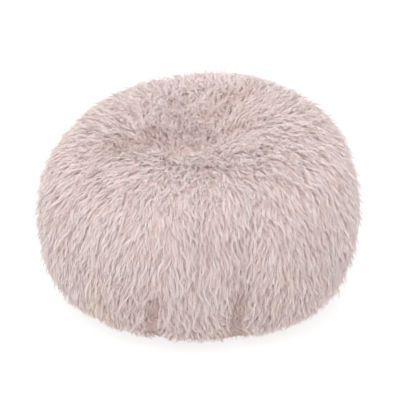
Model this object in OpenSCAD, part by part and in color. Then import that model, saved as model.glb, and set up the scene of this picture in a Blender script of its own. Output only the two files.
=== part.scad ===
// Round bean bag chair: a long-pile fur cover in six gores over a zipped liner full of loose beads.
// Frame: millimetres, +Z up, front towards -Y, origin on the floor under the middle of the bag.

/* [Bag] */
// Diameter over the fur at the widest height
bag_d = 960; // [760:20:1200]
// Height of the back rim over the fur
bag_h = 610; // [500:10:740]
// Height of the front rim over the fur
front_rim_h = 502; // [480:2:520]
// Height of the widest part of the wall
widest_h = 242; // [200:2:280]
// Diameter of the flat base panel
base_d = 630; // [520:10:760]
// Roundness of the lower wall, 2 for an ellipse
lower_round = 1.8; // [1.6:0.1:2.4]
// Roundness of the shoulder, 2 for an ellipse
upper_round = 2.2; // [1.8:0.1:2.6]
// How far the gore seams pull the wall in
seam_dip = 7; // [0:1:14]

/* [Seat dent] */
// Height of the lowest point of the dent over the fur
dent_h = 455; // [420:5:470]
// Radius of the rim around the dent
rim_r = 253; // [220:1:300]
// Place of the dent across the bag
dent_x = -40; // [-80:5:80]
// Place of the dent from front to back
dent_y = 20; // [-60:5:60]
// Compass angle of the highest point of the rim
high_side = 74; // [0:2:180]

/* [Cover] */
// Number of gores in the wall
gores = 6; // [6]
// Compass angle of the first gore seam
first_seam = 44; // [30:1:60]
// Loft of backing and pile together
pile_t = 32; // [20:1:45]
// Thickness of the base cloth, and of the pile where it is crushed at the base seam
base_t = 2; // [1.5:0.1:3]
// Diameter of the top disc that closes the gores' points
disc_d = 124; // [90:2:180]
// Gap left between two sewn edges
seam_gap = 0.4; // [0.2:0.1:0.8]

/* [Liner] */
// Thickness of the liner cloth
liner_t = 1; // [0.8:0.1:2]
// Gap between two layers
layer_gap = 0.6; // [0.5:0.1:1]
// Place of the liner's zip from front to back
liner_zip_y = 110; // [90:5:160]

/* [Zips] */
// From the end of a zip to the edge of the base
zip_margin = 42; // [38:1:80]
// Height of the recess in the base that keeps the cover's zip off the floor
recess_h = 10; // [9.5:0.5:14]
// Half width of that recess
recess_half = 20; // [19:1:30]
// Width of one tape
tape_w = 16; // [12:1:17]
// Thickness of a tape
tape_t = 0.6; // [0.5:0.1:0.8]
// Width of one row of coil
coil_w = 2.4; // [2:0.1:3]
// Height of the coil
coil_h = 2.4; // [2:0.1:2.6]
// Gap between the rows, where the slider's post runs
coil_gap = 1.8; // [1.6:0.1:2]
// Length of the slider
slider_l = 16; // [14:1:20]
// Thickness of the slider's plates
plate_t = 1.2; // [1:0.1:1.4]
// Running gap around the slider
run_gap = 0.4; // [0.3:0.1:0.5]
// Length of the pull from its eye to its tip
pull_l = 28; // [22:1:34]
// Width of the pull
pull_w = 7; // [6.6:0.1:8]
// Diameter of the eye bar that turns in the slider's bridge
eye_d = 1.4; // [1.2:0.1:1.4]

/* [Care label] */
// Length of the blank label
label_l = 60; // [40:5:80]
// Width of the blank label
label_w = 40; // [30:5:50]

/* [Hidden] */
$fn = 96;

// Layers of the bag, from the outside in
fur_face = 0;
cover_inside = 1;
liner_outside = 2;
liner_inside = 3;
fill_face = 4;

// Steps of the panel grid: around one gore, up the lower wall, over the shoulder, into the dent
gore_steps = 10;
lower_steps = 6;
upper_steps = 8;
dent_steps = 4;
disc_steps = 2;

bag_r = bag_d/2;
base_r = base_d/2;
rim_mid = (bag_h + front_rim_h)/2;
rim_tilt = (bag_h - front_rim_h)/2;
gore_angle = 360/gores;
disc_start = 3 - disc_d/2/rim_r;   // where the gores stop, on the 0 to 3 scale of skin()
disc_edge = disc_start + seam_gap/rim_r;
seam_half_angle = 0.03;            // trims each gore's edge, about half of seam_gap at the wall
base_fit_r = base_r*cos(180/(gores*gore_steps)) - seam_gap; // clears the gores' straight steps

// The cover's zip, in the recess across the base
zip_len = base_d - 2*zip_margin;
zip_z = recess_h + base_t;
ledge_half = 6.2;                  // half width of the slot that the slider runs in
zip_end = 5;                       // slot past each end of the coil
eye_x = -3.5;                      // the pull's pivot, from the middle of the slider
pull_clear = 2;
recess_end = pull_l - slider_l/2 - eye_x + pull_clear; // recess past each end of the coil
slider_half = ledge_half - 0.7;
nose_half = slider_half - 1.3;
lug_top = zip_z + tape_t + run_gap + plate_t;

// The liner's zip, in a shallower recess of its own
liner_z = base_t + layer_gap;
liner_zip_h = 4.4;
liner_zip_z = liner_z + liner_zip_h + liner_t;
liner_reach = abs(liner_zip_y) + recess_half;
liner_zip_len = 2*(sqrt(base_r*base_r - liner_reach*liner_reach) - zip_margin);
liner_recess_end = 15;
liner_cave_top = lug_top + layer_gap;
fill_z = liner_z + liner_t + layer_gap;

// Under the slider: the bridge and the pull's eye
under_plate = coil_h + run_gap + plate_t;
eye_gap = 0.2;
eye_z = -under_plate - eye_gap - eye_d/2;
bridge_half = 1.2;
bridge_t = 1.3;
bridge_ends = [-6, 4];
bridge_leg = 1.4;
bridge_drop = eye_d + 2*eye_gap + bridge_t;
cheek_in = bridge_half + 0.5;
stop_l = 2.5;
label_at = [170, -80];
label_t = 0.3;

fur_pink = [0.80, 0.72, 0.71];
base_taupe = [0.55, 0.50, 0.48];
liner_white = [0.92, 0.92, 0.90];
bead_white = [0.97, 0.97, 0.97];
zip_taupe = [0.60, 0.54, 0.52];
nickel = [0.72, 0.72, 0.74];

function ease(t) = t*t*(3 - 2*t);
function rim_h(a) = rim_mid + rim_tilt*cos(a - high_side);
function pinch(a, v) = seam_dip*(1 + cos(gores*(a - first_seam)))/2*sin(60*v);

// A point of the fur's face at compass angle a: v goes from 0 at the base seam, 1 at the widest
// height and 2 on the rim to 3 at the bottom of the dent.
function skin(a, v) =
    v <= 1 ? wall_point(a, v, base_r + (bag_r - base_r)*pow(sin(90*v), 2/lower_round),
        widest_h*(1 - pow(cos(90*v), 2/lower_round)))
    : v <= 2 ? wall_point(a, v, rim_r + (bag_r - rim_r)*pow(max(0, cos(90*(v - 1))), 2/upper_round),
        widest_h + (rim_h(a) - widest_h)*pow(sin(90*(v - 1)), 2/upper_round))
    : dent_point(a, v);
function wall_point(a, v, r, z) =
    let (in_r = r - pinch(a, v)) [in_r*cos(a), in_r*sin(a), z];
function dent_point(a, v) =
    let (u = 3 - v, w = ease(1 - u), r = rim_r*u - pinch(a, v)*u)
    [r*cos(a) + dent_x*w, r*sin(a) + dent_y*w,
        dent_h + (rim_h(a) - dent_h)*(1 - cos(180*u))/2];

// The outward normal of skin(), and the depth of each layer under it
function outward(a, v) =
    v > 2.99 ? [0, 0, 1]
    : v < 0.01 ? [0, 0, -1]
    : let (h = 0.02, up = skin(a, min(3, v + h)) - skin(a, max(0, v - h)),
        round = skin(a + 1, v) - skin(a - 1, v), n = cross(round, up)) n/norm(n);
function loft(v) = base_t + (pile_t - base_t)*ease(min(1, v));
function depth(layer, v) =
    layer == fur_face ? 0
    : loft(v) + (layer >= liner_outside ? layer_gap : 0) + (layer >= liner_inside ? liner_t : 0)
        + (layer >= fill_face ? layer_gap : 0);
function at(a, v, layer) = skin(a, v) - depth(layer, v)*outward(a, v);

wall_rows = concat(
    [for (i = [0 : lower_steps]) i/lower_steps],
    [for (i = [1 : upper_steps]) 1 + i/upper_steps],
    [for (i = [1 : dent_steps]) 2 + (disc_start - 2)*i/dent_steps]);
function disc_rows(from) = [for (i = [0 : disc_steps - 1]) from + (3 - from)*i/disc_steps];

// Two triangles between neighbouring rows of points, wound one way or the other
function quad(a, b, c, d, flip) = flip ? [[a, b, c], [a, c, d]] : [[c, b, a], [d, c, a]];

// A sewn panel between two layers, from compass angle a0 to a1
module panel(a0, a1, rows, outer, inner) {
    cols = [for (i = [0 : gore_steps]) a0 + (a1 - a0)*i/gore_steps];
    nc = len(cols);
    nr = len(rows);
    side = nc*nr;
    points = [for (layer = [outer, inner]) for (v = rows) for (a = cols) at(a, v, layer)];
    sheets = [for (s = [0, 1]) for (j = [0 : nr - 2]) for (i = [0 : nc - 2])
        let (p = s*side + j*nc + i) each quad(p, p + 1, p + nc + 1, p + nc, s == 1)];
    seams = [for (s = [0, 1]) for (j = [0 : nr - 2])
        let (p = j*nc + s*(nc - 1)) each quad(p, p + nc, p + nc + side, p + side, s == 1)];
    ends = [for (s = [0, 1]) for (i = [0 : nc - 2])
        let (p = s*(nr - 1)*nc + i) each quad(p, p + 1, p + 1 + side, p + side, s == 0)];
    polyhedron(points, concat(sheets, seams, ends));
}

// Rows of points round the whole bag, closed by a point in the bottom of the dent
function ring_points(rows, layer) =
    [for (v = rows) for (i = [0 : gores*gore_steps - 1]) at(first_seam + i*gore_angle/gore_steps, v, layer)];
function ring_faces(nr, offset, flip) =
    let (nc = gores*gore_steps) [for (j = [0 : nr - 2]) for (i = [0 : nc - 1])
        let (p = offset + j*nc, q = (i + 1)%nc) each quad(p + i, p + q, p + nc + q, p + nc + i, flip)];
function cap_faces(nr, offset, centre, flip) =
    let (nc = gores*gore_steps, p = offset + (nr - 1)*nc) [for (i = [0 : nc - 1])
        let (q = (i + 1)%nc) flip ? [p + i, p + q, centre] : [centre, p + q, p + i]];

// The round panel in the bottom of the dent
module top_disc(outer, inner) {
    rows = disc_rows(disc_edge);
    nc = gores*gore_steps;
    nr = len(rows);
    side = nc*nr;
    points = concat(ring_points(rows, outer), ring_points(rows, inner),
        [at(0, 3, outer), at(0, 3, inner)]);
    edge = [for (i = [0 : nc - 1])
        let (q = (i + 1)%nc) each quad(i, q, side + q, side + i, true)];
    polyhedron(points, concat(ring_faces(nr, 0, false), ring_faces(nr, side, true),
        cap_faces(nr, 0, 2*side, false), cap_faces(nr, side, 2*side + 1, true), edge));
}

// The beads as one closed solid, before the zips' grooves are taken out of its underside
module fill_form() {
    rows = concat(wall_rows, disc_rows(disc_edge));
    nc = gores*gore_steps;
    nr = len(rows);
    points = concat(ring_points(rows, fill_face), [at(0, 3, fill_face)]);
    floor_face = [[for (i = [0 : nc - 1]) i]];
    polyhedron(points, concat(ring_faces(nr, 0, false), cap_faces(nr, 0, nr*nc, false), floor_face));
}

module cover_gore(i) {
    a0 = first_seam + (i - 1)*gore_angle;
    color(fur_pink)
        panel(a0 + seam_half_angle, a0 + gore_angle - seam_half_angle, wall_rows,
            fur_face, cover_inside);
}
module liner_gore(i) {
    a0 = first_seam + (i - 1)*gore_angle;
    color(liner_white)
        panel(a0 + seam_half_angle, a0 + gore_angle - seam_half_angle, wall_rows,
            liner_outside, liner_inside);
}
module cover_top_disc() { color(fur_pink) top_disc(fur_face, cover_inside); }
module liner_top_disc() { color(liner_white) top_disc(liner_outside, liner_inside); }

// A box centred on x = 0 and y = at_y, from z0 to z1
module slab(half_l, half_w, z0, z1, at_y = 0) {
    translate([-half_l, at_y - half_w, z0]) cube([2*half_l, 2*half_w, z1 - z0]);
}
// One side of the seam at y = at_y: the front for side -1, the back for side 1
module half_space(at_y, side) {
    reach = base_d;
    translate([-reach, side > 0 ? at_y + seam_gap/2 : at_y - seam_gap/2 - 2*reach, -1])
        cube([2*reach, 2*reach, 4*zip_z]);
}

// Half of the round base cloth, with its half of the recess for the cover's zip
module base_half(side) {
    intersection() {
        difference() {
            union() {
                cylinder(h = base_t, r = base_fit_r);
                slab(zip_len/2 + recess_end + base_t, recess_half + base_t, 0, zip_z);
            }
            slab(zip_len/2 + recess_end, recess_half, -1, recess_h);
            slab(zip_len/2 + zip_end, ledge_half, -1, zip_z + 1);
        }
        half_space(0, side);
    }
}
// Half of the liner's base: it steps over the cover's zip and has a recess for its own
module liner_base_half(side) {
    cave_l = zip_len/2 + recess_end + base_t + layer_gap;
    cave_w = recess_half + base_t + layer_gap;
    intersection() {
        difference() {
            union() {
                translate([0, 0, liner_z]) cylinder(h = liner_t, r = base_fit_r);
                slab(cave_l + liner_t, cave_w + liner_t, liner_z, liner_cave_top + liner_t);
                slab(liner_zip_len/2 + liner_recess_end + liner_t, recess_half + liner_t,
                    liner_z, liner_zip_z, liner_zip_y);
            }
            slab(cave_l, cave_w, 0, liner_cave_top);
            slab(liner_zip_len/2 + liner_recess_end, recess_half, 0, liner_zip_z - liner_t, liner_zip_y);
            slab(liner_zip_len/2 + zip_end, ledge_half, 0, liner_zip_z + 1, liner_zip_y);
        }
        half_space(liner_zip_y, side);
    }
}

// Parts of a zip, drawn on a zip whose tapes' underside is at z = 0 and whose middle is at the origin
module zip_tape(length, side) {
    translate([-length/2 - zip_end, side > 0 ? coil_gap/2 : -coil_gap/2 - tape_w, 0])
        cube([length + 2*zip_end, tape_w, tape_t]);
}
module zip_coil(length, side) {
    translate([-length/2, side > 0 ? coil_gap/2 : -coil_gap/2 - coil_w, -coil_h])
        cube([length, coil_w, coil_h]);
}
module top_stop(length, side) {
    translate([-length/2 - 0.5 - stop_l, side > 0 ? coil_gap/2 : -coil_gap/2 - coil_w, -coil_h])
        cube([stop_l, coil_w, coil_h]);
}
module bottom_stop(length) {
    translate([length/2 + 0.5, -coil_gap/2 - coil_w, -coil_h])
        cube([stop_l, coil_gap + 2*coil_w, coil_h]);
}
module plate_outline() {
    polygon([[-slider_l/2, -slider_half], [slider_l/8, -slider_half], [slider_l/2, -nose_half],
        [slider_l/2, nose_half], [slider_l/8, slider_half], [-slider_l/2, slider_half]]);
}
module slider_body() {
    flange_in = coil_gap/2 + coil_w + run_gap;
    translate([0, 0, -under_plate]) linear_extrude(plate_t) plate_outline();
    translate([0, 0, tape_t + run_gap]) linear_extrude(plate_t) plate_outline();
    for (side = [-1, 1])
        translate([-slider_l/2, side > 0 ? flange_in : -slider_half, -under_plate])
            cube([slider_l*5/8, slider_half - flange_in, under_plate - run_gap]);
    translate([-slider_l/2 + 1, -coil_gap/2 + 0.2, -under_plate])
        cube([4, coil_gap - 0.4, under_plate + tape_t + run_gap + plate_t]);
}
// The bridge on the slider's underside that holds the pull
module slider_bridge() {
    span = bridge_ends[1] - bridge_ends[0];
    difference() {
        translate([bridge_ends[0], -bridge_half, -under_plate - bridge_drop])
            cube([span, 2*bridge_half, bridge_drop]);
        translate([bridge_ends[0] + bridge_leg, -bridge_half - 1, -under_plate - bridge_drop + bridge_t])
            cube([span - 2*bridge_leg, 2*bridge_half + 2, bridge_drop - bridge_t + 0.01]);
    }
}
// The pull: an eye bar, two cheeks past the bridge and a plain tab
module pull_body() {
    slot_end = bridge_ends[1] + 2;
    translate([eye_x, -pull_w/2, eye_z]) rotate([-90, 0, 0]) cylinder(h = pull_w, d = eye_d);
    difference() {
        translate([eye_x, -pull_w/2, eye_z - eye_d/2]) cube([pull_l, pull_w, eye_d]);
        translate([eye_x - 1, -cheek_in, eye_z - eye_d]) cube([slot_end - eye_x + 1, 2*cheek_in, 2*eye_d]);
        translate([eye_x + pull_l - pull_w/2, 0, eye_z - eye_d]) cylinder(h = 2*eye_d, d = pull_w*0.4);
    }
}

module on_cover_zip() { translate([0, 0, zip_z]) children(); }
module on_liner_zip() { translate([0, liner_zip_y, liner_zip_z]) children(); }
slider_x = -zip_len/2 + slider_l/2;
liner_slider_x = -liner_zip_len/2 + slider_l/2;

module base_panel_front() { color(base_taupe) base_half(-1); }
module base_panel_back() { color(base_taupe) base_half(1); }
module zip_tape_front() { color(zip_taupe) on_cover_zip() zip_tape(zip_len, -1); }
module zip_tape_back() { color(zip_taupe) on_cover_zip() zip_tape(zip_len, 1); }
module zip_coil_front() { color(zip_taupe) on_cover_zip() zip_coil(zip_len, -1); }
module zip_coil_back() { color(zip_taupe) on_cover_zip() zip_coil(zip_len, 1); }
module zip_top_stops() { color(nickel) on_cover_zip() for (side = [-1, 1]) top_stop(zip_len, side); }
module zip_bottom_stop() { color(nickel) on_cover_zip() bottom_stop(zip_len); }
module zip_slider() {
    color(nickel) on_cover_zip() translate([slider_x, 0, 0]) {
        slider_body();
        slider_bridge();
    }
}
module zip_pull() { color(nickel) on_cover_zip() translate([slider_x, 0, 0]) pull_body(); }
module care_label() {
    color("white") translate([label_at[0], label_at[1], base_t]) cube([label_l, label_w, label_t]);
}

module liner_base_front() { color(liner_white) liner_base_half(-1); }
module liner_base_back() { color(liner_white) liner_base_half(1); }
module liner_zip_tape_front() { color(liner_white) on_liner_zip() zip_tape(liner_zip_len, -1); }
module liner_zip_tape_back() { color(liner_white) on_liner_zip() zip_tape(liner_zip_len, 1); }
module liner_zip_coil_front() { color(liner_white) on_liner_zip() zip_coil(liner_zip_len, -1); }
module liner_zip_coil_back() { color(liner_white) on_liner_zip() zip_coil(liner_zip_len, 1); }
module liner_zip_stops() {
    color(nickel) on_liner_zip() {
        for (side = [-1, 1]) top_stop(liner_zip_len, side);
        bottom_stop(liner_zip_len);
    }
}
// The liner's slider has no bridge and no pull, so a child can't open it
module liner_zip_slider() {
    color(nickel) on_liner_zip() translate([liner_slider_x, 0, 0]) slider_body();
}

module bead_fill() {
    cave = base_t + 2*layer_gap + liner_t;
    color(bead_white) difference() {
        fill_form();
        slab(zip_len/2 + recess_end + cave, recess_half + cave, 0, liner_cave_top + liner_t + layer_gap);
        slab(liner_zip_len/2 + liner_recess_end + liner_t + layer_gap, recess_half + liner_t + layer_gap,
            0, liner_zip_z + tape_t + run_gap + plate_t + layer_gap, liner_zip_y);
    }
}

cover_gore(1);  // cover_gore_1
cover_gore(2);  // cover_gore_2
cover_gore(3);  // cover_gore_3
cover_gore(4);  // cover_gore_4
cover_gore(5);  // cover_gore_5
cover_gore(6);  // cover_gore_6
cover_top_disc();
base_panel_front();
base_panel_back();
zip_tape_front();
zip_tape_back();
zip_coil_front();
zip_coil_back();
zip_top_stops();
zip_bottom_stop();
zip_slider();
zip_pull();
care_label();
liner_gore(1);  // liner_gore_1
liner_gore(2);  // liner_gore_2
liner_gore(3);  // liner_gore_3
liner_gore(4);  // liner_gore_4
liner_gore(5);  // liner_gore_5
liner_gore(6);  // liner_gore_6
liner_top_disc();
liner_base_front();
liner_base_back();
liner_zip_tape_front();
liner_zip_tape_back();
liner_zip_coil_front();
liner_zip_coil_back();
liner_zip_stops();
liner_zip_slider();
bead_fill();
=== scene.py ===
import math
import bpy
import numpy as np
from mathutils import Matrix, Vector
from mathutils.bvhtree import BVHTree


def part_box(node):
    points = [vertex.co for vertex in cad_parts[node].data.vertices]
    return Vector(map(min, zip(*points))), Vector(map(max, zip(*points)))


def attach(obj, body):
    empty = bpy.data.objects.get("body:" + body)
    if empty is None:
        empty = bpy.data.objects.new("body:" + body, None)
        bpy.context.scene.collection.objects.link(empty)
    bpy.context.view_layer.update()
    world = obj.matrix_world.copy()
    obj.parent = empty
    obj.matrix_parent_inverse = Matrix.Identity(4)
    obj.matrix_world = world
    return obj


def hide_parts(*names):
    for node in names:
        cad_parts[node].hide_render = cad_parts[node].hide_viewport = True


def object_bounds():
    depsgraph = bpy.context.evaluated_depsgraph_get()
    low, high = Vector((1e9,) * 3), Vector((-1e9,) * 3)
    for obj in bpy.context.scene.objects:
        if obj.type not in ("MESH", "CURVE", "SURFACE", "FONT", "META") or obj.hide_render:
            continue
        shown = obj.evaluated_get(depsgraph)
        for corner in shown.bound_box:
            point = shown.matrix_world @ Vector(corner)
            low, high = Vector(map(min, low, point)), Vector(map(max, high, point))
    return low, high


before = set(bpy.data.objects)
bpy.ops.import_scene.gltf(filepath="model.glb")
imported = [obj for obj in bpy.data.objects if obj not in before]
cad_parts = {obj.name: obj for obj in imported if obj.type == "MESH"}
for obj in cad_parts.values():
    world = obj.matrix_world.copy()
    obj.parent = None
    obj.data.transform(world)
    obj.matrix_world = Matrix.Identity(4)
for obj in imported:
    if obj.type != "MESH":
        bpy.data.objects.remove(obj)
cadBox = [list(corner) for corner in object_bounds()]
cadLow, cadHigh = np.array(cadBox[0]), np.array(cadBox[1])
print("frame: bag is %.0f x %.0f x %.0f mm" % tuple((cadHigh - cadLow) * 1000))


# Meshes from arrays: points is (n, 3), and each entry of faces holds faces with equal sides

def addPiece(name, points, faces, material, body="bag", corners=None):
    mesh = bpy.data.meshes.new(name)
    loops = np.concatenate([f.ravel() for f in faces]).astype(np.int32)
    sides = np.concatenate([np.full(len(f), f.shape[1]) for f in faces])
    starts = (np.cumsum(sides) - sides).astype(np.int32)
    mesh.vertices.add(len(points))
    mesh.vertices.foreach_set("co", points.astype(np.float32).ravel())
    mesh.loops.add(len(loops))
    mesh.loops.foreach_set("vertex_index", loops)
    mesh.polygons.add(len(starts))
    mesh.polygons.foreach_set("loop_start", starts)
    mesh.polygons.foreach_set("use_smooth", np.ones(len(starts), bool))
    mesh.update(calc_edges=True)
    if corners is not None:  # one (u, v) for each face corner, in the order of loops
        layer = mesh.uv_layers.new(name="OFBake")
        layer.uv.foreach_set("vector", corners.astype(np.float32).ravel())
    piece = bpy.data.objects.new(name, mesh)
    bpy.context.scene.collection.objects.link(piece)
    mesh.materials.append(material)
    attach(piece, body)
    return piece


# Materials: a Wire is one socket and does maths with Python's operators

class Wire:
    def __init__(self, paint, socket):
        self.paint, self.socket = paint, socket

    def _math(self, operation, *values):
        return self.paint.node("ShaderNodeMath", {"operation": operation}, dict(enumerate(values)))

    def __add__(self, other):
        return self._math("ADD", self, other)

    def __radd__(self, other):
        return self._math("ADD", other, self)

    def __sub__(self, other):
        return self._math("SUBTRACT", self, other)

    def __rsub__(self, other):
        return self._math("SUBTRACT", other, self)

    def __mul__(self, other):
        return self._math("MULTIPLY", self, other)

    def __rmul__(self, other):
        return self._math("MULTIPLY", other, self)


class Paint:
    def __init__(self, name, **finish):
        self.material = bpy.data.materials.new(name)
        self.material.use_nodes = True
        self.tree = self.material.node_tree
        self.shader = self.tree.nodes["Principled BSDF"]
        for socket, value in finish.items():
            self.shader.inputs[socket.replace("_", " ")].default_value = value

    def node(self, kind, settings=None, inputs=None, output=0):
        made = self.tree.nodes.new(kind)
        for key, value in (settings or {}).items():
            if key == "stops":
                ramp = made.color_ramp
                while len(ramp.elements) < len(value):
                    ramp.elements.new(0.5)
                for element, (place, color) in zip(ramp.elements, value):
                    element.position, element.color = place, (*color, 1)
            else:
                setattr(made, key, value)
        for key, value in (inputs or {}).items():
            if isinstance(value, Wire):
                self.tree.links.new(value.socket, made.inputs[key])
            elif value is not None:
                made.inputs[key].default_value = value
        return Wire(self, made.outputs[output])

    def mix(self, factor, a, b, blend="MIX"):
        color = [(*c, 1) if isinstance(c, tuple) else c for c in (a, b)]
        return self.node("ShaderNodeMix", {"data_type": "RGBA", "blend_type": blend},
                         {0: factor, 6: color[0], 7: color[1]}, output=2)

    def place(self):  # where a point lies, in metres
        return self.node("ShaderNodeTexCoord", output=3)

    def noise(self, scale, detail=2.0):
        return self.node("ShaderNodeTexNoise", {},
                         {"Vector": self.place(), "Scale": scale, "Detail": detail})

    def axis(self, vector, number):
        return self.node("ShaderNodeSeparateXYZ", {}, {0: vector}, number)

    def floorShade(self, low, high):  # 1 up to the lower height, fading to 0 at the higher: the mask for painted shade near the floor
        height = self.axis(self.place(), 2)
        return self.node("ShaderNodeMapRange", {}, {0: height, 1: low, 2: high, 3: 1.0, 4: 0.0})

    def wave(self, angle):
        return self.node("ShaderNodeMath", {"operation": "SINE"}, {0: angle})

    def bump(self, height, strength, distance):
        return self.node("ShaderNodeBump", {},
                         {"Strength": strength, "Distance": distance, "Height": height})

    def done(self, **wires):
        for socket, wire in wires.items():
            self.tree.links.new(wire.socket, self.shader.inputs[socket.replace("_", " ")])
        return self.material


furTint = dict(  # across runs over the strands' own tints, along from root to tip, where the darker, more saturated roots are painted shade and bounce light among the strands
    across=[(0.0, (0.79, 0.63, 0.60)), (0.3, (0.865, 0.745, 0.72)), (0.6, (0.92, 0.835, 0.82)),
            (0.86, (0.95, 0.895, 0.885)), (0.91, (0.86, 0.76, 0.68)), (1.0, (0.895, 0.80, 0.72))],
    along=[(0.0, (0.80, 0.62, 0.585)), (0.3, (0.94, 0.87, 0.85)),
           (0.6, (0.99, 0.975, 0.97)), (1.0, (1.0, 1.0, 1.0))],
    # painted shade: the colour the fur is multiplied by near the floor
    floorShade=(0.72, 0.60, 0.54),
)


def furMaterial():
    paint = Paint("longPile", Roughness=0.5, Sheen_Weight=0.15, Sheen_Roughness=0.4)
    uv = paint.node("ShaderNodeUVMap", {"uv_map": "OFBake"})
    tint = paint.node("ShaderNodeValToRGB", {"stops": furTint["across"]}, {0: paint.axis(uv, 0)})
    # painted shade: each strand darkens and turns a deeper pink towards its root
    shade = paint.node("ShaderNodeValToRGB", {"stops": furTint["along"]}, {0: paint.axis(uv, 1)})
    color = paint.mix(1.0, tint, shade, "MULTIPLY")
    # painted shade: the fur darkens over its lowest 60 mm
    floorShaded = paint.mix(paint.floorShade(0.0, 0.06), color, furTint["floorShade"], "MULTIPLY")
    return paint.done(Base_Color=floorShaded)


def backingMaterial():  # dense short underfur in its own pink, painted darker and more saturated as shade and bounce light among the strands, and darker still towards the floor as painted shade
    paint = Paint("underfur", Roughness=0.9)
    speck = paint.noise(900.0)
    color = paint.mix(speck, (0.68, 0.545, 0.525), (0.78, 0.64, 0.62))
    # painted shade: the underfur darkens towards the floor
    color = paint.mix(paint.floorShade(0.01, 0.07), color, (0.38, 0.29, 0.26))
    return paint.done(Base_Color=color, Normal=paint.bump(speck, 0.4, 0.0006))


def wovenMaterial(name, dark, light, pitch, relief, roughness, sheen, diagonal):
    paint = Paint(name, Roughness=roughness, Sheen_Weight=sheen)
    place = paint.place()
    x, y = paint.axis(place, 0), paint.axis(place, 1)
    turn = 2 * math.pi / pitch
    warp = paint.wave((x + y * diagonal) * turn)
    weft = paint.wave((y - x * diagonal) * turn)
    thread = 0.5 + warp * weft * 0.5
    cloud = paint.noise(14.0, 4.0)
    slub = paint.noise(260.0, 1.0)
    color = paint.mix(thread * 0.55 + cloud * 0.35 + slub * 0.15 - 0.05, dark, light)
    rough = roughness - 0.08 + cloud * 0.16
    return paint.done(Base_Color=color, Roughness=rough,
                      Normal=paint.bump(thread + slub * 0.4, 0.6, relief))


def nickelMaterial():
    paint = Paint("nickel", Metallic=1.0)
    wear = paint.noise(60.0, 5.0)
    fine = paint.noise(700.0, 2.0)
    color = paint.mix(wear, (0.60, 0.58, 0.55), (0.76, 0.74, 0.71))
    return paint.done(Base_Color=color, Roughness=0.2 + wear * 0.2,
                      Normal=paint.bump(fine, 0.15, 0.0001))


def nylonMaterial(name, dark, light):
    paint = Paint(name, Roughness=0.35, Coat_Weight=0.2)
    cloud = paint.noise(90.0, 3.0)
    return paint.done(Base_Color=paint.mix(cloud, dark, light), Roughness=0.3 + cloud * 0.15,
                      Normal=paint.bump(paint.noise(1400.0), 0.2, 0.0001))


def beadMaterial():
    paint = Paint("foamBeads", Roughness=0.7)
    cells = paint.node("ShaderNodeTexVoronoi", {}, {"Vector": paint.place(), "Scale": 220.0})
    # painted shade: each bead darkens towards its edge and into the gaps between beads
    color = paint.mix(cells, (0.93, 0.93, 0.92), (0.78, 0.78, 0.77))
    return paint.done(Base_Color=color, Normal=paint.bump(1.0 - cells, 0.8, 0.002))


# The stuffed form under the fur

bag = dict(
    lowerRound=1.8, upperRound=2.2,  # fullness of the wall below and above its widest height
    widest=0.242, frontRim=0.502, rimRadius=0.253, highSide=math.radians(74),
    dentPlace=(-0.040, 0.020), discRadius=0.062,
    gores=6, firstSeam=math.radians(44), seamDip=0.007,
    pile=0.032, crushedPile=0.002,   # loft of the fur on the wall and at the base seam
    knit=0.0016, underfur=0.27,      # the backing's thickness, and the dense short fur's share of the loft
    wornFrom=1.7, worn=0.85,         # where the underfur starts to thin towards the seat, and by how much
    columns=216, rows=84,
)
bag["radius"] = (cadHigh[0] - cadLow[0]) / 2 + bag["seamDip"] / 3
bag["baseRadius"] = (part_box("base_panel_front")[1][0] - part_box("base_panel_front")[0][0]) / 2
bag["backRim"] = cadHigh[2]
bag["dentHeight"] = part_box("cover_top_disc")[0][2] + bag["pile"]


def ease(t):
    return t * t * (3 - 2 * t)


# The fur's face: v is 0 at the base seam, 1 at the widest, 2 on the rim and 3 in the dent
def skinPoint(angle, v):
    b = bag
    rim = (b["backRim"] + b["frontRim"]) / 2
    rim = rim + (b["backRim"] - b["frontRim"]) / 2 * np.cos(angle - b["highSide"])
    seams = (1 + np.cos(b["gores"] * (angle - b["firstSeam"]))) / 2
    pinch = b["seamDip"] * seams * np.sin(v * math.pi / 3)
    low, up = np.clip(v, 0, 1) * math.pi / 2, np.clip(v - 1, 0, 1) * math.pi / 2
    lowR = b["baseRadius"] + (b["radius"] - b["baseRadius"]) * np.sin(low) ** (2 / b["lowerRound"])
    lowZ = b["widest"] * (1 - np.maximum(np.cos(low), 0) ** (2 / b["lowerRound"]))
    upR = (b["radius"] - b["rimRadius"]) * np.maximum(np.cos(up), 0) ** (2 / b["upperRound"])
    upR = upR + b["rimRadius"]
    upZ = b["widest"] + (rim - b["widest"]) * np.sin(up) ** (2 / b["upperRound"])
    u = np.clip(3 - v, 0, 1)
    w = ease(1 - u)
    dentR = b["rimRadius"] * u - pinch * u
    dentZ = b["dentHeight"] + (rim - b["dentHeight"]) * (1 - np.cos(math.pi * u)) / 2
    r = np.where(v <= 1, lowR - pinch, np.where(v <= 2, upR - pinch, dentR))
    z = np.where(v <= 1, lowZ, np.where(v <= 2, upZ, dentZ))
    shift = np.where(v > 2, w, 0)
    return np.stack([r * np.cos(angle) + b["dentPlace"][0] * shift,
                     r * np.sin(angle) + b["dentPlace"][1] * shift, z], -1)


def loftAt(v):  # how thick the pile stands
    return bag["crushedPile"] + (bag["pile"] - bag["crushedPile"]) * ease(np.clip(v, 0, 1))


def evenRows(count, top):  # values of v that are evenly spaced along the profile
    v = np.linspace(0, top, 2000)
    turns = np.linspace(0, 2 * math.pi, 8, False)
    profile = np.stack([skinPoint(np.full_like(v, a), v) for a in turns])
    run = np.concatenate([[0], np.cumsum(np.linalg.norm(np.diff(profile, axis=1), axis=2).mean(0))])
    return np.interp(np.linspace(0, run[-1], count), run, v)


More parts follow.
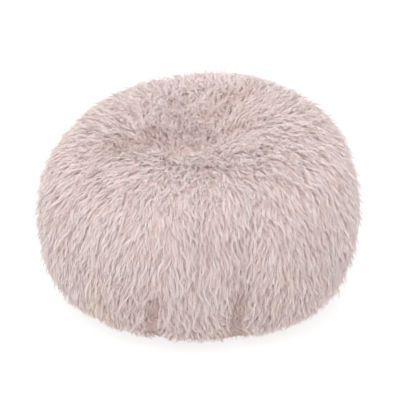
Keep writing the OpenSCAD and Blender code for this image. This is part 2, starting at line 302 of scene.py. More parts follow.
def gridFrame(points):  # normals and tangents of a grid of points, whose columns run round the bag
    around = np.roll(points, -1, 1) - np.roll(points, 1, 1)
    up = np.empty_like(points)
    up[1:-1] = points[2:] - points[:-2]
    up[0], up[-1] = 2 * (points[1] - points[0]), 2 * (points[-1] - points[-2])
    stepA = np.linalg.norm(around, axis=2, keepdims=True) / 2
    stepV = np.linalg.norm(up, axis=2, keepdims=True) / 2
    normal = np.cross(around, up)
    normal /= np.linalg.norm(normal, axis=2, keepdims=True)
    up = up / (2 * stepV)
    side = np.cross(up, normal)
    return normal, side, up, stepA, stepV


def gridFaces(rows, columns, offset=0, flip=False):
    j, i = np.meshgrid(np.arange(rows - 1), np.arange(columns), indexing="ij")
    a, b = offset + j * columns + i, offset + j * columns + (i + 1) % columns
    quads = np.stack([a, b, b + columns, a + columns], -1).reshape(-1, 4)
    return quads[:, ::-1] if flip else quads


cloth = dict(pressure=4.0, spare=-0.03, frames=20, mostMove=0.016, shrinkFirst=0.004, seamHold=0.6)


def stuffedForm():
    columns, rows = bag["columns"], bag["rows"]
    angle = bag["firstSeam"] + np.arange(columns) * 2 * math.pi / columns
    v = evenRows(rows, 2.97)
    bag["rowV"] = v
    a, vv = np.meshgrid(angle, v)
    face = skinPoint(a, vv)
    normal = gridFrame(face)[0]
    normal[0] = (0, 0, -1)
    form = face - normal * (loftAt(vv) - bag["knit"] * np.clip(vv * 4, 0, 1))[..., None]
    start = form - normal * (cloth["shrinkFirst"] * np.clip(vv * 2, 0, 1))[..., None]
    points = np.concatenate([start.reshape(-1, 3), start[-1].mean(0)[None]])
    last = (rows - 1) * columns + np.arange(columns)
    fan = np.stack([last, np.roll(last, -1), np.full(columns, rows * columns)], -1)
    floor = np.arange(columns)[::-1][None]
    piece = addPiece("stuffedForm", points, [gridFaces(rows, columns), fan, floor], backing)
    seam = np.abs(np.sin(bag["gores"] * (angle - bag["firstSeam"]) / 2)) < 0.06
    hold = np.where(seam[None] & (vv > 0), cloth["seamHold"], 0.0)
    hold[0] = 1
    hold[v > 3 - bag["discRadius"] / bag["rimRadius"]] = 1
    hold = np.append(hold.ravel(), 1.0)
    sewn = piece.vertex_groups.new(name="sewn")
    for weight in np.unique(hold[hold > 0]):
        sewn.add(np.flatnonzero(hold == weight).tolist(), float(weight), "REPLACE")
    modifier = piece.modifiers.new("Cloth", "CLOTH")
    settings = modifier.settings
    settings.quality = 6
    settings.mass = 0.4
    settings.tension_stiffness = settings.compression_stiffness = 12
    settings.shear_stiffness = 6
    settings.bending_stiffness = 1.5
    settings.use_pressure = True
    settings.uniform_pressure_force = cloth["pressure"]
    settings.shrink_min = cloth["spare"]
    settings.vertex_group_mass = "sewn"
    settings.effector_weights.gravity = 0
    modifier.collision_settings.use_collision = False
    scene = bpy.context.scene
    for number in range(1, cloth["frames"] + 1):
        scene.frame_set(number)
    evaluated = piece.evaluated_get(bpy.context.evaluated_depsgraph_get())
    moved = np.empty(len(points) * 3, np.float32)
    evaluated.data.vertices.foreach_get("co", moved)
    scene.frame_set(1)
    bpy.data.objects.remove(piece)
    move = moved.reshape(-1, 3)[:-1].reshape(start.shape) - form
    outward = (move * normal).sum(2, keepdims=True)
    move += normal * (np.maximum(outward, 0) - outward)
    far = np.linalg.norm(move, axis=2, keepdims=True)
    print("cloth: moved %.1f mm on average, %.1f at most" % (far.mean() * 1000, far.max() * 1000))
    return form + move * np.minimum(1, cloth["mostMove"] / np.maximum(far, 1e-9))


fur = furMaterial()
backing = backingMaterial()
form = stuffedForm()
formNormal, formSide, formUp, stepA, stepV = gridFrame(form)
packed = np.concatenate([form, formNormal, formSide, formUp, stepA, stepV], -1)
print("form: %d points" % form[..., 0].size)


def onForm(column, row):  # place, normal, side, up and step lengths at fractional grid places
    row = np.clip(row, 0, bag["rows"] - 1.001)
    column = np.mod(column, bag["columns"])
    i, j = column.astype(int), row.astype(int)
    fi, fj = (column - i)[:, None], (row - j)[:, None]
    k = (i + 1) % bag["columns"]
    got = ((1 - fj) * ((1 - fi) * packed[j, i] + fi * packed[j, k])
           + fj * ((1 - fi) * packed[j + 1, i] + fi * packed[j + 1, k]))
    return got[:, :3], got[:, 3:6], got[:, 6:9], got[:, 9:12], got[:, 12], got[:, 13]


def unit(vectors):
    return vectors / np.maximum(np.linalg.norm(vectors, axis=-1, keepdims=True), 1e-9)


def ripple(points, size, seed):  # smooth noise from a few plane waves, about -1 to 1
    draw = np.random.default_rng(seed)
    waves = unit(draw.normal(size=(7, 3))) * (2 * math.pi / size) * draw.uniform(0.6, 1.5, (7, 1))
    return np.sin(points @ waves.T + draw.uniform(0, 2 * math.pi, 7)).sum(1) / 3.2


# The fur: locks follow the form, and each lock is a few tapered strands that gather at its tip

groom = dict(
    lockSpacing=0.0099, seatSpacing=0.80,  # between locks, and its share in the seat
    perLock=6, lockRadius=0.0062, length=0.074, segments=6,
    lift=[1.5, 1.3, 1.0, 0.65, 0.40, 0.25, 0.15, 0.10, 0.08],  # step by step from root to tip
    hang=[0.0, 0.1, 0.2, 0.35, 0.5, 0.6, 0.7, 0.7, 0.7],
    overLoft=1.2, tipRoom=0.006,           # how far over the loft a lock may rise
    gather=[1.0, 0.97, 0.90, 0.80, 0.70, 0.60, 0.50],
    pointed=[1.0, 0.97, 0.85, 0.68, 0.50, 0.32, 0.18],  # as gather, for a lock whose tip turns out
    strandRadius=0.00050, taper=[0.8, 1.0, 1.0, 0.95, 0.8, 0.5],
    wave=0.0040, waveLength=0.034,
    wideTurn=(0.24, 0.22), fineTurn=(0.08, 0.30), seatTurn=(0.045, 0.45),  # size, and angle in radians
    ownTurn=0.27, crossing=1.3,            # each lock's own turn, and more of it round the dent's middle
    swirlPlace=(-0.085, 0.120), swirlSize=0.15,  # where the pile curls every way
    floorGap=0.0025, lowestV=0.03, footTips=(0.002, 0.034),
    flick=0.26, flickFoot=3.5,             # share of locks whose tips turn out, and times that at the foot
    pinkSpot=(-0.012, 0.045),              # where the dye has taken a little deeper, in the dent
)
crease = dict(  # partings where the pile lies low: points as (azimuth in degrees, v), depth, half width
    leftFold=([(176, 2.62), (196, 2.42), (208, 2.20), (214, 1.98)], 0.90, 0.016),
    frontFold=([(240, 2.85), (250, 2.60), (250, 2.30)], 0.90, 0.012),
    upperRight=([(60, 2.60), (50, 2.30), (44, 2.05)], 0.55, 0.010),
    right=([(10, 2.60), (0, 2.35), (352, 2.10)], 0.50, 0.010),
    lowerLeft=([(255, 0.80), (253, 0.55), (254, 0.20)], 0.90, 0.012),
    lowerRight=([(284, 0.85), (282, 0.65), (285, 0.40)], 0.90, 0.012),
)


def creaseDepth(points):  # 0 on plain fur, up to a crease's depth on its line
    deep = np.zeros(len(points))
    for line, depth, width in crease.values():
        ends = np.array([skinPoint(np.radians(a), np.float64(v)) for a, v in line])
        for p, q in zip(ends[:-1], ends[1:]):
            t = np.clip(((points - p) @ (q - p)) / ((q - p) @ (q - p)), 0, 1)
            off = np.linalg.norm(points - p - t[:, None] * (q - p), axis=1)
            deep = np.maximum(deep, depth * np.exp(-(off / (2.2 * width)) ** 2))
    return deep


def plantLocks(draw):
    columns, places = [], []
    row, odd = 0.0, 0
    while row < bag["rows"] - 1.2:
        j = int(row)
        v = np.interp(row, np.arange(bag["rows"]), bag["rowV"])
        spacing = groom["lockSpacing"] * (groom["seatSpacing"] if v > 2.05 else 1)
        if v > groom["lowestV"]:
            run = np.concatenate([[0], np.cumsum(stepA[j, :, 0])])
            count = max(5, int(round(run[-1] / spacing)))
            shake = draw.uniform(-0.42, 0.42, count)
            want = (np.arange(count) + 0.5 * odd + shake) / count * run[-1]
            columns.append(np.interp(np.mod(want, run[-1]), run, np.arange(bag["columns"] + 1)))
            places.append(row + draw.uniform(-0.42, 0.42, count) * spacing / stepV.mean())
        row, odd = row + spacing / stepV.mean(), 1 - odd
    return np.concatenate(columns), np.clip(np.concatenate(places), 0.5, bag["rows"] - 1.5)


def combLocks():
    g = groom
    draw = np.random.default_rng(11)
    rootColumn, row = plantLocks(draw)
    column = rootColumn
    root, normal, side, up, ma, mv = onForm(column, row)
    count = len(row)
    v = np.interp(row, np.arange(bag["rows"]), bag["rowV"])
    fromSwirl = np.linalg.norm(root[:, :2] - g["swirlPlace"], axis=1)
    swirl = np.exp(-(fromSwirl / g["swirlSize"]) ** 2) * (v > 1.6)
    seat = ease(np.clip((v - 2.1) / 0.3, 0, 1))
    turn = (ripple(root, g["wideTurn"][0], 3) * g["wideTurn"][1]
            + ripple(root, g["fineTurn"][0], 4) * (g["fineTurn"][1] + 0.8 * swirl)
            + ripple(root, g["seatTurn"][0], 15) * g["seatTurn"][1] * seat
            + draw.normal(0, g["ownTurn"] + 0.20 * swirl, count))
    share = g["flick"] * np.where(v < 0.55, g["flickFoot"], 1.0) * (1 - 0.7 * seat)
    flick = (draw.random(count) < share) * draw.uniform(0.5, 1.4, count)
    low = np.clip((v - 0.1) / 0.6, 0, 1)
    length = g["length"] * (0.55 + 0.45 * low) * draw.uniform(0.8, 1.12, count)
    length = length * (1 - 0.25 * swirl)
    toRim = np.array([math.cos(bag["highSide"]), math.sin(bag["highSide"])])
    facing = (root[:, :2] @ toRim) / np.linalg.norm(root[:, :2], axis=1)
    backward = np.clip((facing - 0.6) / 0.35, 0, 1)
    near = ease(np.clip(0.5 - 3 * (root[:, 1] - bag["dentPlace"][1]), 0, 1))
    middle = ease(np.clip((v - 2.65) / 0.25, 0, 1))
    turn = turn + middle * draw.normal(0, g["crossing"], count)
    dent = ease(np.clip((v - 2.1) / 0.4, 0, 1))
    stand = 1 + (0.13 + 0.40 * backward) * np.exp(-((v - 1.85) / 0.45) ** 2) - 0.2 * dent
    stand = stand - 0.35 * near * np.exp(-((v - 2.3) / 0.35) ** 2)
    liftUp = draw.uniform(0.6, 1.2, count) * stand
    phase = draw.normal(0, 0.7, count) + ripple(root, 0.11, 5) * 3
    flank = ease(np.clip((np.abs(root[:, 0]) - 0.25) / 0.15, 0, 1))
    wave = g["wave"] * draw.uniform(0.5, 1.4, count) * (1 + 1.2 * swirl) * (1 - 0.4 * flank)
    steps = len(g["lift"])
    ds = length / steps
    height = np.full(count, -0.002)
    path = [root + normal * height[:, None]]
    sway = [np.zeros((count, 3))]
    rootSide, rootUp, rootNormal = side, up, normal
    for k in range(steps):
        tipPart = k > 3
        bend = turn + (0.30 + 0.8 * swirl) * ripple(path[-1], 0.05, 9)
        comb = -up * np.cos(bend)[:, None] + side * np.sin(bend)[:, None]
        d = normal * (g["lift"][k] * liftUp + flick * tipPart)[:, None] + comb
        vNow = np.interp(row, np.arange(bag["rows"]), bag["rowV"])
        weight = np.clip((vNow - 0.35) / 0.5, 0, 1)[:, None]
        pull = np.array([0, 0, -1.0]) + normal * (0.8 * normal[:, 2:])  # the pile beneath carries a lock
        d = unit(d + pull * g["hang"][k] * weight)
        free = ease(np.clip((vNow - 0.3) / 0.5, 0, 1))
        roof = loftAt(vNow) * liftUp * (0.7 + (g["overLoft"] - 0.7) * free) + g["tipRoom"] * free
        roof = roof + flick * (0.022 * free + 0.012 * (1 - free) * tipPart)
        roof = roof * (1 - creaseDepth(path[-1]))
        height = np.minimum(height + ds * (d * normal).sum(1), roof)
        height = np.maximum(height, 0.0006 * (k + 1))
        row = np.maximum(row + ds * (d * up).sum(1) / mv, 0.0)
        column = column + ds * (d * side).sum(1) / ma
        foot, normal, side, up, ma, mv = onForm(column, row)
        along = (k + 1) / steps
        lateral = unit(np.cross(normal, d))
        angle = 2 * math.pi * ds * (k + 1) / g["waveLength"] + phase
        swing = wave * math.sqrt(along) * np.sin(angle)
        path.append(foot + normal * height[:, None])
        sway.append(lateral * swing[:, None])
    path = np.stack(path, 1) + np.stack(sway, 1)
    stop = draw.uniform(*g["footTips"], count)  # a lock near the floor ends at a height of its own
    low = path[:, 1:, 2] < stop[:, None]
    whole = np.maximum(np.where(low.any(1), (low.argmax(1) + 1) / steps, 1.0), 0.4)
    return dict(path=path, whole=whole, side=rootSide, up=rootUp, normal=rootNormal, root=root, v=v,
                column=rootColumn, swirl=swirl, flick=flick, flank=flank)


def growStrands(locks):
    draw = np.random.default_rng(12)
    per, rings = groom["perLock"], groom["segments"] + 1
    lock = np.repeat(np.arange(len(locks["v"])), per)
    count = len(lock)
    spin = draw.uniform(0, 2 * math.pi, count)
    out = np.sqrt(draw.uniform(0.05, 1, count)) * groom["lockRadius"]
    offset = locks["side"][lock] * (np.cos(spin) * out)[:, None]
    offset = offset + locks["up"][lock] * (np.sin(spin) * out)[:, None]
    reach = draw.uniform(0.72, 1.0, count) * locks["whole"][lock]
    steps = locks["path"].shape[1] - 1
    points = np.empty((count, rings, 3))
    curl = draw.uniform(0.0005, 0.0018, count)
    curlPhase = draw.uniform(0, 2 * math.pi, count)
    rise = draw.normal(0, 0.0016, count)
    wall = ease(np.clip((1.9 - locks["v"]) / 0.7, 0, 1))
    pointed = locks["flick"] * 1.5 + (0.45 - 0.35 * locks["flank"]) * wall
    pointed = np.minimum(pointed, 1)[lock, None]
    for k in range(rings):
        t = k / (rings - 1)
        place = t * reach * steps
        i = np.minimum(place.astype(int), steps - 1)
        f = (place - i)[:, None]
        guide = locks["path"][lock, i] * (1 - f) + locks["path"][lock, i + 1] * f
        wobble = (curl * t * np.sin(10 * t + curlPhase))[:, None] * locks["side"][lock]
        spread = groom["gather"][k] + (groom["pointed"][k] - groom["gather"][k]) * pointed
        rising = locks["normal"][lock] * (rise * t)[:, None]
        points[:, k] = guide + offset * spread + wobble + rising
    floor = groom["floorGap"] + draw.uniform(0, 0.004, count)
    points[..., 2] = np.maximum(points[..., 2], floor[:, None])
    return points, lock


def strandTints(locks, lock):
    draw = np.random.default_rng(13)
    root, v = locks["root"], locks["v"]
    lockTone = 0.46 + 0.08 * ripple(root, 0.18, 6) + draw.normal(0, 0.10, len(v))
    lockTone -= 0.34 * (1 - ease(np.clip((v - 0.1) / 0.45, 0, 1)))  # painted shade, a little darker at the foot
    straw = 0.8 * ripple(root, 0.12, 8) * (1 - 0.5 * (v > 1.2))
    straw = straw + np.exp(-((v - 0.3) / 0.4) ** 2) - 0.45
    # painted shade: strands along a crease get a darker tint
    lockTone -= 0.7 * creaseDepth(locks["path"][:, 4]) + 0.06 * locks["swirl"]
    fromSpot = np.linalg.norm(root[:, :2] - groom["pinkSpot"], axis=1)
    spot = np.exp(-(fromSpot / 0.02) ** 2) * (v > 2)
    tone = lockTone[lock] - 0.45 * spot[lock] + draw.normal(0, 0.13, len(lock))
    tint = np.clip(tone, 0.02, 0.86)
    beige = (straw[lock] + draw.normal(0, 0.3, len(lock))) > 0.75
    return np.where(beige, draw.uniform(0.91, 0.985, len(lock)), tint)


def strandMesh(points, tint):  # closed three-sided strands
    count, rings = points.shape[:2]
    tangent = unit(np.gradient(points, axis=1))
    out = unit(points[:, :1] * [1, 1, 0] + [1e-4, 0, 0.02])
    b = unit(np.cross(tangent, np.broadcast_to(out, tangent.shape)))
    c = np.cross(b, tangent)
    draw = np.random.default_rng(14)
    twist = draw.uniform(0, 2 * math.pi, count)
    thick = groom["strandRadius"] * draw.uniform(0.75, 1.25, count)
    corners = []
    for n in range(3):
        angle = twist + n * 2 * math.pi / 3
        across = b[:, :-1] * np.cos(angle)[:, None, None] + c[:, :-1] * np.sin(angle)[:, None, None]
        radius = thick[:, None] * np.array(groom["taper"])[None]
        corners.append(points[:, :-1] + across * radius[..., None])
    body = np.stack(corners, 2).reshape(count, -1, 3)       # ring by ring, three corners each
    verts = np.concatenate([body, points[:, -1:]], 1)
    verts[..., 2] = np.maximum(verts[..., 2], 0.0008)
    each = verts.shape[1]
    tip = each - 1
    quads = np.array([[3 * k + n, 3 * k + (n + 1) % 3, 3 * k + 3 + (n + 1) % 3, 3 * k + 3 + n]
                      for k in range(rings - 2) for n in range(3)])
    last = 3 * (rings - 2)
    tris = np.array([[last, last + 1, tip], [last + 1, last + 2, tip], [last + 2, last, tip],
                     [2, 1, 0]])
    base = (np.arange(count) * each)[:, None, None]
    faces = [(quads[None] + base).reshape(-1, 4), (tris[None] + base).reshape(-1, 3)]
    spread = 0.008  # how far a strand's own tint varies round it
    u = np.array([-spread, 0, spread] * (rings - 1) + [0])
    v = np.append(np.repeat(0.04 + 0.92 * np.arange(rings - 1) / (rings - 1), 3), 0.97)
    quadUv = np.stack([u[quads], v[quads]], -1).reshape(-1, 2)
    triUv = np.stack([u[tris], v[tris]], -1)
    triUv[3, :, 1] = (0.02, 0.035, 0.02)
    triUv = triUv.reshape(-1, 2)
    place = np.stack([tint, np.zeros(count)], -1)[:, None]
    uv = np.concatenate([(corner[None] + place).reshape(-1, 2) for corner in (quadUv, triUv)])
    return verts.reshape(-1, 3), faces, uv


tiers = dict(Foot=(0, 0.5), LowWall=(0.5, 0.95), HighWall=(0.95, 1.35), Shoulder=(1.35, 1.75),
             Rim=(1.75, 2.2), Seat=(2.2, 2.76))


def growFur():
    locks = combLocks()
    points, lock = growStrands(locks)
    tint = strandTints(locks, lock)
    place = np.mod(locks["column"], bag["columns"]) / (bag["columns"] / bag["gores"])
    gore = np.minimum(place.astype(int), bag["gores"] - 1)[lock]
    v = locks["v"][lock]
    each = 6 * groom["segments"] - 2  # triangles in a strand
    print("fur: %d locks, %d strands" % (len(locks["v"]), len(lock)))
    triangles = []
    for name, (low, high) in tiers.items():
        for g in range(bag["gores"]):
            mine = (gore == g) & (v >= low) & (v < high)
            verts, faces, uv = strandMesh(points[mine], tint[mine])
            piece = addPiece("fur%s%d" % (name, g + 1), verts, faces, fur, corners=uv)
            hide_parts("cover_gore_%d" % (g + 1))
            triangles.append(int(mine.sum()) * each)
    mine = v >= tiers["Seat"][1]
    verts, faces, uv = strandMesh(points[mine], tint[mine])
    piece = addPiece("furDisc", verts, faces, fur, corners=uv)
    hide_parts("cover_top_disc")
    triangles.append(int(mine.sum()) * each)
    print("fur: %d triangles, at most %d in a piece" % (sum(triangles), max(triangles)))


def backingPanels():  # the knit backing with its dense underfur, one panel to a gore
    perGore = bag["columns"] // bag["gores"]
    edge = int(np.searchsorted(bag["rowV"], 3 - bag["discRadius"] / bag["rimRadius"]))
    v = bag["rowV"][:, None, None]
    tuft = 1 + 0.25 * ripple(form.reshape(-1, 3), 0.012, 31).reshape(form.shape[:2])[..., None]
    thin = 1 - bag["worn"] * ease(np.clip((v - bag["wornFrom"]) / 0.5, 0, 1))
    thin = thin * np.clip(v * 8, 0, 1)
    thin = thin * (1 - creaseDepth(form.reshape(-1, 3)).reshape(form.shape[:2]))[..., None]
    outer = form + formNormal * loftAt(v) * bag["underfur"] * tuft * thin
    outer[..., 2] = np.maximum(outer[..., 2], 0.0004)
    inner = form - formNormal * (bag["knit"] - 0.0001)
    for g in range(bag["gores"]):
        cols = np.arange(g * perGore, (g + 1) * perGore + 1) % bag["columns"]
        shell = np.stack([outer[:edge, cols], inner[:edge, cols]])
        rows, width = shell.shape[1:3]
        size = rows * width
        j, i = np.meshgrid(np.arange(rows - 1), np.arange(width - 1), indexing="ij")
        a = (j * width + i).ravel()
        front = np.stack([a, a + 1, a + width + 1, a + width], -1)
        ring = np.concatenate([np.arange(width), np.arange(2, rows + 1) * width - 1,
                               (rows - 1) * width + np.arange(width - 2, -1, -1),
                               np.arange(rows - 2, 0, -1) * width])
        rim = np.stack([ring, ring + size, np.roll(ring, -1) + size, np.roll(ring, -1)], -1)
        faces = [front, front[:, ::-1] + size, rim]
        piece = addPiece("backingGore%d" % (g + 1), shell.reshape(-1, 3), faces, backing)
        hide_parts("cover_gore_%d" % (g + 1))
    shell = np.stack([outer[edge - 1:], inner[edge - 1:]])
    rows, width = shell.shape[1:3]
    size = rows * width
    points = np.concatenate([shell.reshape(-1, 3), shell[:, -1].mean(1)])
    last, first = (rows - 1) * width + np.arange(width), np.arange(width)
    caps = np.stack([last, np.roll(last, -1), np.full(width, 2 * size)], -1)
    capsIn = np.stack([np.roll(last, -1) + size, last + size, np.full(width, 2 * size + 1)], -1)
    rim = np.stack([first, first + size, np.roll(first, -1) + size, np.roll(first, -1)], -1)
    faces = [gridFaces(rows, width), gridFaces(rows, width, size, True), rim, caps, capsIn]
    piece = addPiece("backingDisc", points, faces, backing)
    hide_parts("cover_top_disc")


backingPanels()
growFur()


# Underside: base cloth with its stitching, zips and label

underside = dict(
    columns=150, rows=64, cloth=0.0016, stitchInset=0.009, stitchLength=0.0034, stitchPitch=0.0046,
    thread=0.00042, groove=0.0009, grooveWidth=0.004, wire=0.00036, turn=0.0015, coilSteps=10,
)


def cadHeights(node, places):  # the height of a CAD node's underside over each place, -1 where none
    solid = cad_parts[node]
    points = [solid.matrix_world @ vertex.co for vertex in solid.data.vertices]
    tree = BVHTree.FromPolygons(points, [tuple(face.vertices) for face in solid.data.polygons])
    heights = np.zeros(len(places))
    for n, (x, y) in enumerate(places):
        hit = tree.ray_cast(Vector((x, y, -0.1)), Vector((0, 0, 1)))[0]
        heights[n] = hit.z if hit else -1.0
    return heights


def reachAlong(node, start, along, least, most):  # how far along the height first lies between two values
    steps = np.arange(0, 0.33, 0.0001)
    heights = cadHeights(node, [(start[0] + along[0] * d, start[1] + along[1] * d) for d in steps])
    return steps[np.argmax((heights > least) & (heights < most))]


def basePanel(name, node, side):
    u = underside
    low, high = (np.array(corner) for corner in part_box(node))
    radius = (high[0] - low[0]) / 2
    seam = min(abs(low[1]), abs(high[1])) + 0.0002
    slotY = reachAlong(node, (0, 0), (0, side), -0.5, 1) + 0.0001
    slotX = reachAlong(node, (0, side * (seam + 0.001)), (1, 0), -0.5, 1) + 0.0001
    recessY = reachAlong(node, (0, 0), (0, side), -0.5, 0.005)
    recessX = reachAlong(node, (0, side * (seam + 0.001)), (1, 0), -0.5, 0.005)
    print("%s: slot to %.1f, %.1f mm and recess to %.1f, %.1f mm"
          % (name, slotX * 1000, slotY * 1000, recessX * 1000, recessY * 1000))
    span = 0.998 * math.sqrt(radius ** 2 - (recessY + 0.0004) ** 2)
    x = -span * np.cos(np.linspace(0, math.pi, u["columns"]))
    walls = np.array([slotX, recessX - 0.0002, recessX + 0.0002])
    x = x[(np.abs(np.abs(x) - slotX) > 0.001) & (np.abs(np.abs(x) - recessX) > 0.001)]
    x = np.sort(np.concatenate([x, walls, -walls]))
    inner = np.array([seam, slotY, (slotY + recessY) / 2, recessY - 0.0002])
    t = np.linspace(0, 1, u["rows"])
    far = np.sqrt((radius - 0.0004) ** 2 - x ** 2)
    y = np.concatenate([np.tile(inner[:, None], (1, len(x))),
                        recessY + 0.0002 + t[:, None] * (far - recessY - 0.0002)[None]])
    x = np.broadcast_to(x, y.shape)
    places = np.stack([x.ravel(), side * y.ravel()], -1)
    z = cadHeights(node, places)
    covered = (z > -0.5).reshape(x.shape)
    r = np.hypot(places[:, 0], places[:, 1])
    line = np.exp(-((r - (radius - u["stitchInset"])) / u["grooveWidth"]) ** 2)
    pucker = 0.0003 * (1 + ripple(np.append(places, places[:, :1] * 0, 1), 0.05, 21)).clip(0)
    z = z + u["groove"] * line + pucker * (z < 0.001)
    under = np.stack([places[:, 0], places[:, 1], z], -1)
    size, width = len(under), x.shape[1]
    j, i = np.nonzero(covered[:-1, :-1] & covered[1:, :-1] & covered[:-1, 1:] & covered[1:, 1:])
    a = j * width + i
    sheet = np.stack([a, a + width, a + width + 1, a + 1], -1)
    edges = [tuple(edge) for edge in np.stack([sheet, np.roll(sheet, -1, 1)], -1).reshape(-1, 2)]
    known = set(edges)
    p, q = np.array([edge for edge in edges if edge[::-1] not in known]).T
    faces = [sheet, sheet[:, ::-1] + size, np.stack([q, p, p + size, q + size], -1)]
    used = np.unique(np.concatenate([f.ravel() for f in faces]))
    number = np.zeros(2 * size, int)
    number[used] = np.arange(len(used))
    faces = [number[f] for f in faces]
    if side < 0:
        faces = [f[:, ::-1] for f in faces]
    points = np.concatenate([under, under + (0, 0, u["cloth"])])[used]
    piece = addPiece(name, points, faces, baseCloth)
    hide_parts(node)


def stitchRow(name, places, along, height):  # short spindles of thread, end to end
    u = underside
    ring = np.arange(5) * 2 * math.pi / 5
    across = np.stack([-along[:, 1], along[:, 0]], -1)
    stations = [(-0.5, 0.25, 0.25), (-0.25, 0.9, 0.0), (0.25, 0.9, 0.0), (0.5, 0.25, 0.25)]
    points = []
    for station, fat, rise in stations:
        middle = places + along * station * u["stitchLength"]
        for angle in ring:
            flat = middle + across * math.cos(angle) * fat * u["thread"]
            z = height + u["thread"] * (1 + rise + math.sin(angle) * fat)
            points.append(np.column_stack([flat, z]))
    points = np.stack(points, 1)
    each = points.shape[1]
    quads = np.array([[5 * k + n, 5 * k + (n + 1) % 5, 5 * k + 5 + (n + 1) % 5, 5 * k + 5 + n]
                      for k in range(3) for n in range(5)])
    ends = np.array([[4, 3, 2, 1, 0], [15, 16, 17, 18, 19]])
    base = (np.arange(len(places)) * each)[:, None, None]
    faces = [(quads[None] + base).reshape(-1, 4), (ends[None] + base).reshape(-1, 5)]
    piece = addPiece(name, points.reshape(-1, 3), faces, thread)


def rimStitches():
    u = underside
    low, high = (np.array(corner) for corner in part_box("base_panel_front"))
    radius = (high[0] - low[0]) / 2 - u["stitchInset"]
    count = int(2 * math.pi * radius / u["stitchPitch"])
    angle = (np.arange(count) + 0.5) * 2 * math.pi / count
    places = radius * np.stack([np.cos(angle), np.sin(angle)], -1)
    clear = np.abs(places[:, 1]) > 0.024
    along = np.stack([-np.sin(angle), np.cos(angle)], -1)
    stitchRow("rimStitches", places[clear], along[clear], np.zeros(clear.sum()))


def labelStitches():
    u = underside
    low, high = (np.array(corner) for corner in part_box("care_label"))
    x = np.arange(low[0] + 0.004, high[0] - 0.002, u["stitchPitch"] * 0.8)
    edges = (low[1] + 0.002, high[1] - 0.002)
    places = np.concatenate([np.column_stack([x, np.full(len(x), y)]) for y in edges])
    along = np.tile([1.0, 0.0], (len(places), 1))
    stitchRow("labelStitches", places, along, np.full(len(places), max(low[2], 0)))


def zipCoil(name, node, material):
    u = underside
    low, high = (np.array(corner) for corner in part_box(node))
    middle, half = (low + high) / 2, (high - low) / 2 - u["wire"]
    turns = int((high[0] - low[0]) / u["turn"])
    angle = np.arange(turns * u["coilSteps"] + 1) * 2 * math.pi / u["coilSteps"]
    x = np.linspace(low[0] + u["wire"], high[0] - u["wire"], len(angle))
    path = np.stack([x, middle[1] + half[1] * np.cos(angle),
                     middle[2] + half[2] * np.sin(angle)], -1)
    forward = unit(np.gradient(path, axis=0))
    out = unit((path - middle) * (0, 1, 1))
    across = np.cross(forward, out)
    points = np.stack([path + out * u["wire"] * math.cos(a) + across * u["wire"] * math.sin(a)
                       for a in np.arange(4) * math.pi / 2], 1).reshape(-1, 3)
    base = np.arange(len(path) - 1)[:, None] * 4
    corners = [(n, (n + 1) % 4, 4 + (n + 1) % 4, 4 + n) for n in range(4)]
    tube = np.concatenate([base[..., None] + corner for corner in corners]).reshape(-1, 4)
    ends = np.array([[3, 2, 1, 0], [0, 1, 2, 3]]) + [[0], [4 * (len(path) - 1)]]
    piece = addPiece(name, points, [tube, ends], material)
    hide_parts(node)


def clad(material, *nodes):
    for node in nodes:
        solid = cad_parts[node]
        solid.data.materials.clear()
        solid.data.materials.append(material)


weaves = dict(  # dark and light thread, pitch, relief, roughness, sheen, diagonal
    baseCanvas=((0.33, 0.25, 0.24), (0.50, 0.40, 0.38), 0.0026, 0.0004, 0.85, 0.1, 0.0),
    sewingThread=((0.40, 0.31, 0.30), (0.60, 0.50, 0.48), 0.0006, 0.0001, 0.6, 0.2, 0.6),
    zipTape=((0.30, 0.23, 0.22), (0.46, 0.37, 0.35), 0.0016, 0.0002, 0.75, 0.1, 1.0),
    linerCloth=((0.74, 0.74, 0.72), (0.86, 0.86, 0.84), 0.0020, 0.0002, 0.8, 0.0, 0.0),
    labelSatin=((0.84, 0.84, 0.82), (0.93, 0.93, 0.91), 0.0012, 0.0001, 0.4, 0.3, 0.3),
)
baseCloth, thread, zipTape, linerCloth, labelSatin = (
    wovenMaterial(name, *values) for name, values in weaves.items())
nickel = nickelMaterial()
coilNylon = nylonMaterial("coilNylon", (0.28, 0.21, 0.20), (0.42, 0.33, 0.31))
linerNylon = nylonMaterial("linerCoilNylon", (0.78, 0.78, 0.76), (0.88, 0.88, 0.86))
basePanel("basePanelFront", "base_panel_front", -1)
basePanel("basePanelBack", "base_panel_back", 1)
rimStitches()
labelStitches()
for half in ("front", "back"):
    zipCoil("zipCoil" + half.title(), "zip_coil_" + half, coilNylon)
    zipCoil("linerZipCoil" + half.title(), "liner_zip_coil_" + half, linerNylon)
clad(zipTape, "zip_tape_front", "zip_tape_back")
clad(labelSatin, "care_label")
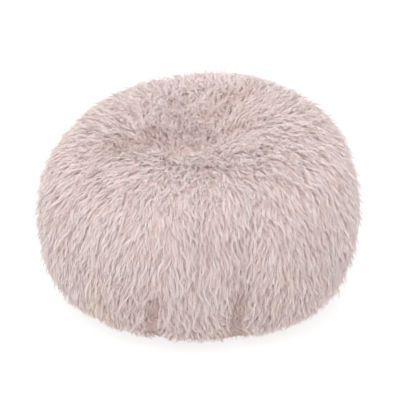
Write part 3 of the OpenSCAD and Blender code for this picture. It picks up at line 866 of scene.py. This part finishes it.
clad(nickel, "zip_top_stops", "zip_bottom_stop", "zip_slider", "zip_pull", "liner_zip_stops",
     "liner_zip_slider")
clad(linerCloth, "liner_top_disc", "liner_base_front", "liner_base_back", "liner_zip_tape_front",
     "liner_zip_tape_back", *("liner_gore_%d" % (g + 1) for g in range(bag["gores"])))
clad(beadMaterial(), "bead_fill")
print("underside done")

# Camera, light and floor

view = dict(elevation=22, distance=3.2, lens=95.5, aim=(0.002, 0.0, 0.287))
camera = bpy.data.objects.new("camera", bpy.data.cameras.new("camera"))
bpy.context.scene.collection.objects.link(camera)
camera.data.lens = view["lens"]
camera.data.clip_end = 50
up = math.radians(view["elevation"])
back = Vector((0, -math.cos(up), math.sin(up)))
camera.location = Vector(view["aim"]) + back * view["distance"]
camera.rotation_euler = back.to_track_quat("Z", "Y").to_euler()
bpy.context.scene.camera = camera

light = dict(  # power in watts, size and place of each lamp
    key=(50, 3.0, (-0.8, -2.0, 2.6)),
    fill=(7, 2.8, (1.6, -2.4, 1.6)),
    top=(28, 2.6, (-0.1, 0.0, 3.2)),
)
skyStrength = 1.07
for name, (power, size, place) in light.items():
    lamp = bpy.data.objects.new(name, bpy.data.lights.new(name, "AREA"))
    lamp.data.energy, lamp.data.size = power, size
    lamp.location = place
    lamp.rotation_euler = (Vector(place) - Vector((0, 0, 0.3))).to_track_quat("Z", "Y").to_euler()
    bpy.context.scene.collection.objects.link(lamp)
world = bpy.data.worlds.new("studio")
bpy.context.scene.world = world
world.use_nodes = True
world.node_tree.nodes["Background"].inputs[0].default_value = (1, 1, 1, 1)
world.node_tree.nodes["Background"].inputs[1].default_value = skyStrength
bpy.context.scene.view_settings.view_transform = "Standard"

floorPaint = Paint("studioFloor", Base_Color=(0.25, 0.25, 0.25, 1), Roughness=0.9,
                   Emission_Color=(1, 1, 1, 1), Emission_Strength=0.78)
bpy.ops.mesh.primitive_plane_add(size=30, location=(0, 0, -0.0006))
floor = bpy.context.object
floor.name = "floor"
floor.data.materials.append(floorPaint.material)
